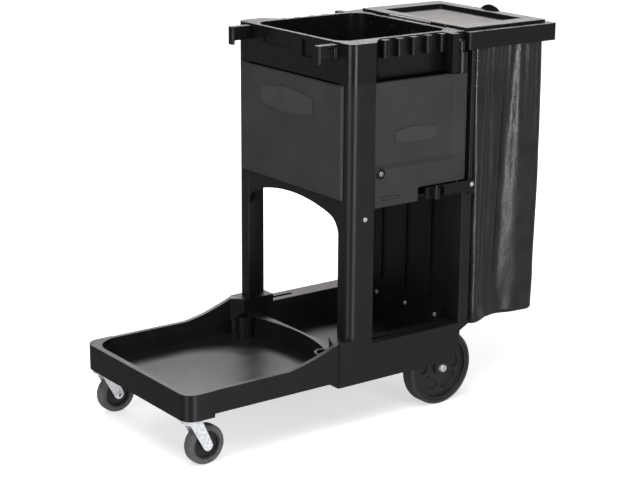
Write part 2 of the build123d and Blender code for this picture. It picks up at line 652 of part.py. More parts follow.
def make_lock_cam():
    """The cam behind the door. It hangs down when unlocked."""
    y0 = LEFT + LOCK_BODY_LENGTH + SEAT_GAP
    y1 = y0 + CAM_THICKNESS
    cam = crosswise(LOCK_X, LOCK_HEIGHT, CAM_WIDTH / 2, y0, y1)
    return cam + block(
        LOCK_X - CAM_WIDTH / 2, LOCK_X + CAM_WIDTH / 2, y0, y1, LOCK_HEIGHT - CAM_LENGTH, LOCK_HEIGHT)


def make_hinge_pins():
    """A pin above and below each door, set in the bin's boss and in the clip bracket."""
    reach = HINGE_PIN_ENGAGEMENT
    upper = upright(HINGE_X, HINGE_Y, HINGE_PIN_RADIUS, DOOR_TOP - reach, COLUMN_TOP + reach)
    lower = upright(HINGE_X, HINGE_Y, HINGE_PIN_RADIUS, ARM_TOP - LUG_THICKNESS, DOOR_NOTCH_TOP + reach)
    return Compound(children=[upper, lower, other_side(upper), other_side(lower)])


# ---------------------------------------------------------------- upper bin
def make_bin():
    """The open bin on top of the tower, with a tub hanging into the cabinet."""
    x0 = TOWER_FRONT
    x1 = FRAME_FRONT
    top = RIM_HEIGHT
    bin_body = rounded_block(x0, x1, LEFT, RIGHT, COLUMN_TOP, top, COLUMN_RADIUS)
    tub_y = LEFT + BIN_SIDE_RIM - BIN_WALL
    tub = rounded_block(
        x0 + BIN_FRONT_WALL - BIN_WALL, x1 - BIN_REAR_RIM + BIN_WALL, tub_y, -tub_y,
        BIN_FLOOR - BIN_WALL, COLUMN_TOP + 1, BIN_INNER_RADIUS + BIN_WALL)
    bin_body += tub
    for side in (-1, 1):
        y_out = side * (RIGHT + 1)
        y_in = side * (RIGHT - RECESS_DEPTH)
        start = x0 + COLUMN_WIDTH
        recess = plan_prism(
            [(start, y_out), (start, side * RIGHT), (start + RECESS_SLANT, y_in), (x1 - RECESS_REAR, y_in),
             (x1 - RECESS_REAR, y_out)], COLUMN_TOP - 1, top + 1)
        bin_body -= recess
        corner = block(
            HINGE_X - BARREL_RADIUS, x1 + 1, *sorted((side * RIGHT, side * (RIGHT - BARREL_RADIUS))),
            COLUMN_TOP - 1, top + 1)
        bin_body -= corner
        post_y = side * (RIGHT - BARREL_RADIUS)
        bin_body += upright(HINGE_X, post_y, BARREL_RADIUS, DOOR_TOP + SEAT_GAP, COLUMN_TOP + BOSS_HEIGHT)
        shoulder = COLUMN_TOP + BOSS_HEIGHT
        bin_body += upright(HINGE_X, post_y, DOME_RADIUS, shoulder - 1, shoulder + DOME_HEIGHT - DOME_RADIUS)
        bin_body += Pos(HINGE_X, post_y, shoulder + DOME_HEIGHT - DOME_RADIUS) * Sphere(DOME_RADIUS)
        pin_top = COLUMN_TOP + HINGE_PIN_ENGAGEMENT
        bin_body -= upright(HINGE_X, post_y, HINGE_PIN_RADIUS, DOOR_TOP - 1, pin_top)
    inner = LEFT + BIN_SIDE_RIM
    bin_body -= rounded_block(
        x0 + BIN_FRONT_WALL, x1 - BIN_REAR_RIM, inner, -inner, BIN_FLOOR, top + 1, BIN_INNER_RADIUS)
    half = LABEL_LENGTH / 2
    bin_body -= block(
        x0 - 1, x0 + LABEL_DEPTH, LABEL_OFFSET - half, LABEL_OFFSET + half,
        LABEL_Z - LABEL_HEIGHT / 2, LABEL_Z + LABEL_HEIGHT / 2)
    pocket_top = top - POCKET_DROP
    half = POCKET_LENGTH / 2
    bin_body -= block(
        x0 - 1, x0 + POCKET_DEPTH, -LABEL_OFFSET - half, -LABEL_OFFSET + half,
        pocket_top - POCKET_HEIGHT, pocket_top)
    for y in frame_bolt_places():
        bin_body -= lengthwise(y, frame_bolt_height(), FRAME_BOLT_RADIUS, x1 - BIN_REAR_RIM - 1, x1 + 1)
    return bin_body


def frame_bolt_places():
    """Where four bolts join the bag frame to the bin's rear wall."""
    return [step * FRAME_BOLT_SPREAD for step in (-1.5, -0.5, 0.5, 1.5)]


def comb_span():
    """The comb's two ends, inside the bin's side recess."""
    start = TOWER_FRONT + COLUMN_WIDTH + RECESS_SLANT + CLEARANCE
    return start, FRAME_FRONT - RECESS_REAR - CLEARANCE


def comb_pitch():
    """The distance from one tooth to the next."""
    x0, x1 = comb_span()
    return (x1 - x0 - TOOTH_WIDTH) / (COMB_TEETH - 1)


def make_tool_comb():
    """A rail with teeth, between which tool handles stand."""
    wall = LEFT + RECESS_DEPTH
    top = RIM_HEIGHT - BIN_WALL / 2
    bottom = top - COMB_HEIGHT
    x0, x1 = comb_span()
    comb = block(x0, x1, wall - COMB_BACK, wall, bottom, top)
    for tooth in range(COMB_TEETH):
        x = x0 + tooth * comb_pitch()
        comb += rounded_block(x, x + TOOTH_WIDTH, wall - TOOTH_REACH, wall - 1, bottom, top, TOOTH_WIDTH / 4)
    return comb


def make_front_hook():
    """A deep arm in front of the bin, with a lip at its tip and a groove in its outer side."""
    x1 = TOWER_FRONT
    x0 = x1 - HOOK_REACH
    top = FRAME_TOP - HOOK_DROP
    y0 = LEFT + HOOK_INSET
    y1 = y0 + HOOK_WIDTH
    hook = block(x0, x1, y0, y1, top - HOOK_ARM, top)
    hook += block(x0, x0 + HOOK_THICKNESS, y0, y1, top - HOOK_LIP, top)
    hook = fillet(nearest_edges(hook, Axis.Z, [(x0, y0, top), (x0, y1, top)]), HOOK_CORNER)
    groove_rear = x1 - COLUMN_RADIUS / 2
    return hook - block(
        groove_rear - HOOK_GROOVE, groove_rear, y0 - 1, y0 + HOOK_GROOVE_DEPTH, top - HOOK_ARM - 1,
        top - HOOK_THICKNESS)


def make_hinge_bracket():
    """The lower hinge bearing, with an arm along the door and a clip for a tool handle."""
    bottom = ARM_TOP - BRACKET_HEIGHT
    wall_y = LEFT - CLIP_WALL
    x1 = TOWER_REAR + CLIP_WALL
    x0 = x1 - BRACKET_LENGTH
    bracket = block(x0, x1, wall_y, LEFT, bottom, ARM_TOP)
    lug_front = HINGE_X - BARREL_RADIUS
    seat = ARM_TOP - LUG_THICKNESS
    bracket += block(lug_front, TOWER_REAR - REAR_FLANGE, wall_y, LEFT + 2 * BARREL_RADIUS, seat, ARM_TOP)
    clip_x = HINGE_X + BARREL_RADIUS - CLIP_DISTANCE + HANDLE_RADIUS
    clip_y = LEFT - CLIP_OFFSET
    arm_bottom = ARM_TOP - ARM_HEIGHT
    column_front = TOWER_REAR - REAR_COLUMN_BOX - CLEARANCE
    bracket += block(clip_x, column_front, wall_y, wall_y + ARM_THICKNESS, arm_bottom, ARM_TOP)
    bracket += block(column_front - 1, x0 + 1, wall_y, LEFT, arm_bottom, ARM_TOP)
    outer = HANDLE_RADIUS + CLIP_WALL
    bracket += upright(clip_x, clip_y, outer, arm_bottom, ARM_TOP)
    bracket += block(clip_x - 2 * outer, clip_x, wall_y, wall_y + ARM_THICKNESS, arm_bottom, ARM_TOP)
    bracket -= upright(clip_x, clip_y, HANDLE_RADIUS, arm_bottom - 1, ARM_TOP + 1)
    mouth = CLIP_MOUTH / 2
    bracket -= block(
        clip_x - mouth, clip_x + mouth, clip_y - outer - 1, clip_y, arm_bottom - 1, ARM_TOP + 1)
    bracket -= upright(HINGE_X, HINGE_Y, HINGE_PIN_RADIUS, seat - 1, ARM_TOP + 1)
    return bracket - crosswise(clip_screw_x(), clip_screw_z(), SCREW_RADIUS, wall_y - 1, LEFT + 1)


def clip_screw_x():
    return TOWER_REAR - REAR_FLANGE / 2


def clip_screw_z():
    return ARM_TOP - LUG_THICKNESS


# ---------------------------------------------------------------- bag frame, lid and bag
def make_bag_frame():
    """A rectangular frame with an inward top flange, which carries the lid and hides the bag's hem."""
    side = LEFT + FRAME_INSET
    frame = rounded_block(FRAME_FRONT, REAR, side, -side, FRAME_BOTTOM, FRAME_TOP, LID_CORNER_RADIUS)
    frame -= rounded_block(
        FRAME_FRONT + FRAME_FRONT_BAR, REAR - FRAME_WALL, side + FRAME_WALL, -side - FRAME_WALL,
        FRAME_BOTTOM - 1, FRAME_TOP - FLANGE_THICKNESS, LID_CORNER_RADIUS / 2)
    frame -= rounded_block(
        FRAME_FRONT + FLANGE_WIDTH, REAR - FLANGE_WIDTH, side + FLANGE_WIDTH, -side - FLANGE_WIDTH,
        FRAME_BOTTOM, FRAME_TOP + 1, LID_CORNER_RADIUS)
    for centre in (-KNUCKLE_SPREAD, KNUCKLE_SPREAD):
        for direction in (-1, 1):
            y0 = centre + direction * (KNUCKLE_LENGTH / 2 + CLEARANCE)
            low, high = sorted((y0, y0 + direction * FRAME_LUG_LENGTH))
            frame += crosswise(LID_AXIS_X, LID_AXIS_Z, KNUCKLE_RADIUS, low, high)
            frame += block(FRAME_FRONT, LID_AXIS_X + KNUCKLE_RADIUS, low, high, FRAME_TOP - 1, LID_AXIS_Z)
    frame -= crosswise(LID_AXIS_X, LID_AXIS_Z, ROD_RADIUS, LEFT, RIGHT)
    for y in frame_bolt_places():
        frame -= lengthwise(y, frame_bolt_height(), FRAME_BOLT_RADIUS, FRAME_FRONT - 1, frame_bolt_end())
    return frame


def frame_bolt_height():
    return FRAME_BOTTOM + FRAME_HEIGHT / 2


def frame_bolt_end():
    """The bolts stop inside the frame's front bar."""
    return FRAME_FRONT + FRAME_FRONT_BAR - FRAME_WALL


def make_lid():
    """The dished lid, with two hinge knuckles in front and a lifting tab behind."""
    side = LEFT + LID_SIDE_INSET
    lid = rounded_block(LID_FRONT, LID_REAR, side, -side, LID_BOTTOM, LID_TOP, LID_CORNER_RADIUS)
    dish = [LID_FRONT + DISH_MARGIN_X, LID_REAR - DISH_MARGIN_X, side + DISH_MARGIN_Y, -side - DISH_MARGIN_Y]
    skirt = [dish[0] - LID_SHEET, dish[1] + LID_SHEET, dish[2] - LID_SHEET, dish[3] + LID_SHEET]
    floor = LID_TOP - DISH_DEPTH
    lid += rounded_block(*skirt, floor - LID_SHEET, LID_BOTTOM + 1, LID_CORNER_RADIUS + LID_SHEET)
    lid -= rounded_block(*dish, floor, LID_TOP + 1, LID_CORNER_RADIUS)
    tab_left = (-TAB_WIDTH / 2, LID_TOP - 1)
    tab_right = (TAB_WIDTH / 2, LID_TOP - 1)
    tab = Line(tab_right, tab_left) + ThreePointArc(tab_left, (0, LID_TOP + TAB_HEIGHT), tab_right)
    lid += front_prism(tab, LID_REAR - TAB_THICKNESS, LID_REAR)
    for centre in (-KNUCKLE_SPREAD, KNUCKLE_SPREAD):
        half = KNUCKLE_LENGTH / 2
        lid += crosswise(LID_AXIS_X, LID_AXIS_Z, KNUCKLE_RADIUS, centre - half, centre + half)
        lid += block(
            LID_AXIS_X, LID_FRONT + 1, centre - half, centre + half, LID_AXIS_Z - KNUCKLE_RADIUS / 2,
            LID_AXIS_Z + KNUCKLE_RADIUS / 2)
    return lid - crosswise(LID_AXIS_X, LID_AXIS_Z, ROD_RADIUS + RUNNING_CLEARANCE, LEFT, RIGHT)


def make_lid_rod():
    reach = KNUCKLE_SPREAD + KNUCKLE_LENGTH / 2 + CLEARANCE + FRAME_LUG_LENGTH
    return crosswise(LID_AXIS_X, LID_AXIS_Z, ROD_RADIUS, -reach, reach)


def make_bag():
    """The waste bag as a plain open tub, hanging from just under the frame's flange."""
    x0 = FRAME_FRONT + FRAME_FRONT_BAR + BAG_CLEARANCE
    x1 = REAR - BAG_REAR_INSET
    y = LEFT + FRAME_INSET + FRAME_WALL + BAG_CLEARANCE
    top = FRAME_TOP - FLANGE_THICKNESS - SEAT_GAP
    wall = BAG_WALL
    bag = rounded_block(x0, x1, y, -y, BAG_BOTTOM, top, BAG_RADIUS)
    return bag - rounded_block(
        x0 + wall, x1 - wall, y + wall, -y - wall, BAG_BOTTOM + wall, top + 1, BAG_RADIUS - wall)


# ---------------------------------------------------------------- rear wheels
def rear_wheel_span():
    y0 = LEFT + REAR_WHEEL_DEPTH
    return y0, y0 + REAR_WHEEL_WIDTH


def make_rear_tyre():
    y0, y1 = rear_wheel_span()
    tyre = crosswise(WHEEL_X, REAR_WHEEL_RADIUS, REAR_WHEEL_RADIUS, y0, y1)
    tyre = fillet(tyre.edges().filter_by(GeomType.CIRCLE), REAR_TYRE_THICKNESS / 2)
    inner = REAR_WHEEL_RADIUS - REAR_TYRE_THICKNESS
    return tyre - crosswise(WHEEL_X, REAR_WHEEL_RADIUS, inner, y0 - 1, y1 + 1)


def make_rear_hub():
    """A moulded wheel: rim, pierced web and hub."""
    y0, y1 = rear_wheel_span()
    outer = REAR_WHEEL_RADIUS - REAR_TYRE_THICKNESS - RUNNING_CLEARANCE
    rim_inner = outer - REAR_RIM_THICKNESS
    z = REAR_WHEEL_RADIUS
    hub = crosswise(WHEEL_X, z, outer, y0 + 1, y1 - 1)
    web = (y0 + y1) / 2
    half = REAR_WEB_THICKNESS / 2
    dish = crosswise(WHEEL_X, z, rim_inner, y0, web - half - REAR_TYRE_THICKNESS / 2)
    dish += crosswise(WHEEL_X, z, rim_inner, web + half, y1)
    hub -= dish - crosswise(WHEEL_X, z, REAR_HUB_RADIUS, y0, y1)
    face = web - half - REAR_TYRE_THICKNESS / 2
    for recess in range(REAR_RECESSES):
        start = 90 + 360 / REAR_RECESSES * recess - REAR_RECESS_ARC / 2
        plan = SlotArc(CenterArc((0, 0), REAR_RECESS_CIRCLE, start, REAR_RECESS_ARC), REAR_RECESS_WIDTH)
        cut = Plane.XZ * extrude(plan, amount=-REAR_RECESS_DEPTH)
        hub -= Pos(WHEEL_X, face, z) * cut
    return hub - crosswise(WHEEL_X, z, AXLE_RADIUS + RUNNING_CLEARANCE, y0 - 1, y1 + 1)


def make_rear_axle():
    end = LEFT - AXLE_END_REACH
    return crosswise(WHEEL_X, REAR_WHEEL_RADIUS, AXLE_RADIUS, end, -end)


def make_push_nut():
    """The domed cap pressed on the axle's end."""
    outer = LEFT - PUSH_NUT_REACH
    cap = crosswise(WHEEL_X, REAR_WHEEL_RADIUS, PUSH_NUT_RADIUS, outer, LEFT + REAR_WHEEL_DEPTH - SEAT_GAP)
    cap = fillet(cap.faces().sort_by(Axis.Y)[0].edges(), PUSH_NUT_REACH / 2)
    return cap - crosswise(WHEEL_X, REAR_WHEEL_RADIUS, AXLE_RADIUS, LEFT - AXLE_END_REACH, RIGHT)


# ---------------------------------------------------------------- front casters
def make_caster_mount():
    """Stem, upper race and kingpin, fixed to the base's corner block."""
    mount = upright(CASTER_X, CASTER_Y, RACE_RADIUS, RACE_BOTTOM, CORNER_BOTTOM)
    mount = fillet(mount.faces().sort_by(Axis.Z)[0].edges(), RACE_THICKNESS / 3)
    mount += upright(CASTER_X, CASTER_Y, STEM_RADIUS, CORNER_BOTTOM - 1, CORNER_BOTTOM + STEM_LENGTH - 1)
    head_top = PLATE_BOTTOM - SEAT_GAP
    mount += upright(CASTER_X, CASTER_Y, KINGPIN_RADIUS, head_top - 1, RACE_BOTTOM + 1)
    return mount + upright(CASTER_X, CASTER_Y, KINGPIN_HEAD_RADIUS, head_top - FORK_SHEET, head_top)


def make_caster_fork():
    """A pressed fork: round plate, two tapered legs and their rounded ends."""
    plate = upright(CASTER_X, CASTER_Y, RACE_RADIUS, PLATE_BOTTOM, PLATE_TOP)
    plate -= upright(CASTER_X, CASTER_Y, KINGPIN_RADIUS + RUNNING_CLEARANCE, PLATE_BOTTOM - 1, PLATE_TOP + 1)
    fork = plate
    dx = CASTER_TRAIL
    dz = PLATE_BOTTOM - CASTER_RADIUS
    reach = math.hypot(dx, dz)
    across = Vector(dz / reach, 0, dx / reach) * FORK_END_RADIUS
    for side in (-1, 1):
        inner = CASTER_WIDTH / 2 + FORK_GAP
        y0, y1 = sorted((CASTER_Y + side * inner, CASTER_Y + side * (inner + FORK_SHEET)))
        leg = side_prism(
            Polyline(
                (CASTER_X - FORK_SHOULDER * 0.7, PLATE_BOTTOM + 1),
                (CASTER_X + FORK_SHOULDER * 0.85, PLATE_BOTTOM + 1),
                (CASTER_AXLE_X + across.X, CASTER_RADIUS + across.Z),
                (CASTER_AXLE_X - across.X, CASTER_RADIUS - across.Z), close=True), y0, y1)
        leg += crosswise(CASTER_AXLE_X, CASTER_RADIUS, FORK_END_RADIUS, y0, y1)
        leg -= crosswise(CASTER_AXLE_X, CASTER_RADIUS, CASTER_BOLT_RADIUS, y0 - 1, y1 + 1)
        fork += leg
    return fork


def make_caster_axle():
    """The axle bolt with its head outside and its nut inside, as two solids."""
    half = CASTER_WIDTH / 2 + FORK_GAP + FORK_SHEET
    z = CASTER_RADIUS
    end = CASTER_Y + half + BOLT_HEAD_HEIGHT
    bolt = crosswise(CASTER_AXLE_X, z, CASTER_BOLT_RADIUS, CASTER_Y - half, end)
    head = Pos(CASTER_AXLE_X, CASTER_Y - half - BOLT_HEAD_HEIGHT, z) * Rot(90, 0, 0) * extrude(
        RegularPolygon(BOLT_HEAD_RADIUS, 6), amount=-BOLT_HEAD_HEIGHT)
    bolt += head
    nut = Pos(CASTER_AXLE_X, CASTER_Y + half, z) * Rot(90, 0, 0) * extrude(
        RegularPolygon(BOLT_HEAD_RADIUS, 6), amount=-BOLT_HEAD_HEIGHT)
    nut -= crosswise(CASTER_AXLE_X, z, CASTER_BOLT_RADIUS, CASTER_Y, CASTER_Y + 2 * half)
    return Compound(children=[bolt, nut])


def make_caster_tyre():
    half = CASTER_WIDTH / 2
    tyre = crosswise(CASTER_AXLE_X, CASTER_RADIUS, CASTER_RADIUS, CASTER_Y - half, CASTER_Y + half)
    tyre = fillet(tyre.edges().filter_by(GeomType.CIRCLE), CASTER_TYRE / 2)
    inner = CASTER_RADIUS - CASTER_TYRE
    return tyre - crosswise(CASTER_AXLE_X, CASTER_RADIUS, inner, CASTER_Y - half - 1, CASTER_Y + half + 1)


def make_caster_hub():
    half = CASTER_WIDTH / 2
    z = CASTER_RADIUS
    outer = CASTER_RADIUS - CASTER_TYRE - RUNNING_CLEARANCE
    hub = crosswise(CASTER_AXLE_X, z, outer, CASTER_Y - half + 1, CASTER_Y + half - 1)
    for side in (-1, 1):
        y0, y1 = sorted((CASTER_Y + side * half * 0.55, CASTER_Y + side * half))
        dish = crosswise(CASTER_AXLE_X, z, outer - 5, y0, y1)
        hub -= dish - crosswise(CASTER_AXLE_X, z, CASTER_HUB_RADIUS, y0, y1)
    hub += crosswise(CASTER_AXLE_X, z, CASTER_HUB_RADIUS, CASTER_Y - half - 1, CASTER_Y + half + 1)
    return hub - crosswise(
        CASTER_AXLE_X, z, CASTER_BOLT_RADIUS + RUNNING_CLEARANCE, CASTER_Y - half - 2, CASTER_Y + half + 2)


# ---------------------------------------------------------------- fasteners and blank plates
def domed_screw(length):
    """A screw along -Z with a domed head above z = 0."""
    head = Cylinder(SCREW_HEAD_RADIUS, SCREW_HEAD_HEIGHT, align=(Align.CENTER, Align.CENTER, Align.MIN))
    head = fillet(head.faces().sort_by(Axis.Z)[-1].edges(), SCREW_HEAD_HEIGHT * 0.7)
    shank = Cylinder(SCREW_RADIUS, length, align=(Align.CENTER, Align.CENTER, Align.MAX))
    return head + shank


def make_column_screws():
    screw = domed_screw(COLUMN_FLANGE + LUG_WIDTH / 2)
    return both_sides(Pos(column_screw_x(), LEFT, COLUMN_SCREW_HEIGHT) * Rot(90, 0, 0) * screw)


def make_clip_screws():
    screw = domed_screw(CLIP_WALL)
    return both_sides(Pos(clip_screw_x(), LEFT - CLIP_WALL, clip_screw_z()) * Rot(90, 0, 0) * screw)


def make_panel_screws():
    screw = domed_screw(REAR_PANEL_THICKNESS + REAR_WALL)
    return Compound(
        children=[Pos(x, y, PANEL_SCREW_HEIGHT) * Rot(0, -90, 0) * screw for x, y in panel_screw_places()])


def make_frame_bolts():
    """Four bolts with hex heads inside the bin, threaded into the bag frame's front bar."""
    head_x = FRAME_FRONT - BIN_REAR_RIM
    z = frame_bolt_height()
    bolts = []
    for y in frame_bolt_places():
        head = Pos(head_x, y, z) * Rot(0, -90, 0) * extrude(RegularPolygon(FRAME_BOLT_HEAD, 6), amount=5)
        bolts.append(head + lengthwise(y, z, FRAME_BOLT_RADIUS, head_x, frame_bolt_end()))
    return Compound(children=bolts)


def badge_outline(length, height):
    """A blank plate with bowed long sides and short straight ends."""
    half = length / 2
    end = height * 0.29
    top = ThreePointArc((-half, end), (0, height / 2), (half, end))
    bottom = ThreePointArc((half, -end), (0, -height / 2), (-half, -end))
    return top + Line((half, end), (half, -end)) + bottom + Line((-half, -end), (-half, end))


def make_front_badge():
    outline = Pos(FRONT_BADGE_OFFSET, FRONT_BADGE_Z) * badge_outline(FRONT_BADGE_LENGTH, FRONT_BADGE_HEIGHT)
    face = TOWER_FRONT - PANEL_THICKNESS
    return front_prism(outline, face - BADGE_THICKNESS, face)


def make_door_badge():
    centre = DOOR_FRONT + DOOR_BADGE_SETBACK
    outline = Pos(centre, DOOR_BADGE_Z) * badge_outline(DOOR_BADGE_LENGTH, DOOR_BADGE_HEIGHT)
    face = LEFT + DOOR_FACE_DEPTH
    return side_prism(outline, face - BADGE_THICKNESS, face)


# ---------------------------------------------------------------- the whole cart
SINGLE_PIECES = {
    "base_tray": make_base_tray,
    "front_arch": make_front_arch,
    "cabinet_floor": make_cabinet_floor,
    "front_panel": make_front_panel,
    "rear_panel": make_rear_panel,
    "upper_bin": make_bin,
    "hinge_pins": make_hinge_pins,
    "bag_frame": make_bag_frame,
    "lid": make_lid,
    "lid_hinge_rod": make_lid_rod,
    "waste_bag": make_bag,
    "rear_axle": make_rear_axle,
    "column_screws": make_column_screws,
    "clip_screws": make_clip_screws,
    "panel_screws": make_panel_screws,
    "frame_bolts": make_frame_bolts,
    "front_badge": make_front_badge,
}

PAIRED_PIECES = {
    "front_column": make_front_column,
    "rear_column": make_rear_column,
    "door": make_door,
    "door_badge": make_door_badge,
    "lock_housing": make_lock_housing,
    "lock_plug": make_lock_plug,
    "lock_cam": make_lock_cam,
    "tool_comb": make_tool_comb,
    "front_hook": make_front_hook,
    "hinge_bracket": make_hinge_bracket,
    "rear_wheel": make_rear_hub,
    "rear_tyre": make_rear_tyre,
    "push_nut": make_push_nut,
    "caster_mount": make_caster_mount,
    "caster_fork": make_caster_fork,
    "caster_axle": make_caster_axle,
    "caster_hub": make_caster_hub,
    "caster_tyre": make_caster_tyre,
}


def main():
    os.makedirs("parts", exist_ok=True)
    for name, make in SINGLE_PIECES.items():
        export_step(make(), f"parts/{name}.step")
    for name, make in PAIRED_PIECES.items():
        left = make()
        export_step(left, f"parts/{name}_left.step")
        export_step(other_side(left), f"parts/{name}_right.step")


main()
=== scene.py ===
"""Looks of the housekeeping cart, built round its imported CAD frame."""
import math

import bpy
import numpy as np
from mathutils import Matrix, Vector, noise


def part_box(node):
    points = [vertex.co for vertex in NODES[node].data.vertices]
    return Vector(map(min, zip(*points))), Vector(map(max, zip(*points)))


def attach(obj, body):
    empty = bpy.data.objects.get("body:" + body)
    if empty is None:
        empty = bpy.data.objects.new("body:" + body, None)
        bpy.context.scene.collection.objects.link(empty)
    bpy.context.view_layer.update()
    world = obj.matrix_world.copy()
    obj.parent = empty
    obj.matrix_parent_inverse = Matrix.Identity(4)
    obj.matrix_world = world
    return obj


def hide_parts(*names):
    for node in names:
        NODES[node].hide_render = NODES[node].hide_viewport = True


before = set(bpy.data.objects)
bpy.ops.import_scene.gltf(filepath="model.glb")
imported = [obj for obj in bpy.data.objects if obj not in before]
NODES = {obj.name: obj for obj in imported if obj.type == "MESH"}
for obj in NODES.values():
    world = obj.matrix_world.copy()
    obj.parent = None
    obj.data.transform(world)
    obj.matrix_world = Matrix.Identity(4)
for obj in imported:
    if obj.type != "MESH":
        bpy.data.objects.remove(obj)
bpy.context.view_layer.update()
MM = 0.001


# ------------------------------------------------------------------ materials
class Paint:
    """A node material round one Principled shader."""

    def __init__(self, name, colour, roughness, **sockets):
        self.material = bpy.data.materials.new(name)
        self.material.use_nodes = True
        self.tree = self.material.node_tree
        self.shader = self.tree.nodes["Principled BSDF"]
        self.shader.inputs["Base Color"].default_value = (*colour, 1)
        self.shader.inputs["Roughness"].default_value = roughness
        for socket, value in sockets.items():
            self.shader.inputs[socket.replace("_", " ")].default_value = value
        self.place = self.tree.nodes.new("ShaderNodeTexCoord").outputs["Object"]
        self.normal = None

    def noise(self, scale, detail=3.0, stretch=(1, 1, 1), distortion=0.0):
        """A noise texture in the object's own space, with a scale per metre."""
        mapping = self.tree.nodes.new("ShaderNodeMapping")
        mapping.inputs["Scale"].default_value = stretch
        self.tree.links.new(self.place, mapping.inputs["Vector"])
        texture = self.tree.nodes.new("ShaderNodeTexNoise")
        texture.inputs["Scale"].default_value = scale
        texture.inputs["Detail"].default_value = detail
        texture.inputs["Distortion"].default_value = distortion
        self.tree.links.new(mapping.outputs["Vector"], texture.inputs["Vector"])
        return texture.outputs["Fac"]

    def cells(self, scale, stretch=(1, 1, 1)):
        """The distance to the nearest cell of a smooth Voronoi texture, for dents in the vinyl."""
        mapping = self.tree.nodes.new("ShaderNodeMapping")
        mapping.inputs["Scale"].default_value = stretch
        self.tree.links.new(self.place, mapping.inputs["Vector"])
        texture = self.tree.nodes.new("ShaderNodeTexVoronoi")
        texture.feature = "SMOOTH_F1"
        texture.inputs["Scale"].default_value = scale
        self.tree.links.new(mapping.outputs["Vector"], texture.inputs["Vector"])
        return texture.outputs["Distance"]

    def ramp(self, value, low, high, start=0.3, end=0.7):
        """A number or colour that goes from low to high as value goes from start to end."""
        ramp = self.tree.nodes.new("ShaderNodeValToRGB")
        for element, at, level in zip(ramp.color_ramp.elements, (start, end), (low, high)):
            element.position = at
            element.color = (*level, 1) if isinstance(level, tuple) else (level, level, level, 1)
        self.tree.links.new(value, ramp.inputs["Fac"])
        return ramp.outputs["Color"]

    def vary(self, socket, value, low, high):
        """Lets a value of the shader go from low to high with a texture."""
        self.tree.links.new(self.ramp(value, low, high), self.shader.inputs[socket])

    def bump(self, height, distance):
        """Adds a layer of bump, its height in metres."""
        bump = self.tree.nodes.new("ShaderNodeBump")
        bump.inputs["Strength"].default_value = 1.0
        bump.inputs["Distance"].default_value = distance
        self.tree.links.new(height, bump.inputs["Height"])
        if self.normal is not None:
            self.tree.links.new(self.normal, bump.inputs["Normal"])
        self.normal = bump.outputs["Normal"]
        self.tree.links.new(self.normal, self.shader.inputs["Normal"])


def moulded(name, colour, rough, spread, grain, wave):
    """Moulded plastic: slow waves from moulding, a fine grain, and roughness and colour that drift."""
    paint = Paint(name, colour, rough, IOR=1.5)
    low = tuple(channel * 0.88 for channel in colour)
    high = tuple(channel * 1.13 for channel in colour)
    paint.vary("Base Color", paint.noise(11, 5), low, high)
    paint.vary("Roughness", paint.noise(23, 6, distortion=0.4), rough - spread, rough + spread)
    paint.bump(paint.noise(4.5, 1), wave)
    paint.bump(paint.noise(1500, 2), grain)
    return paint.material


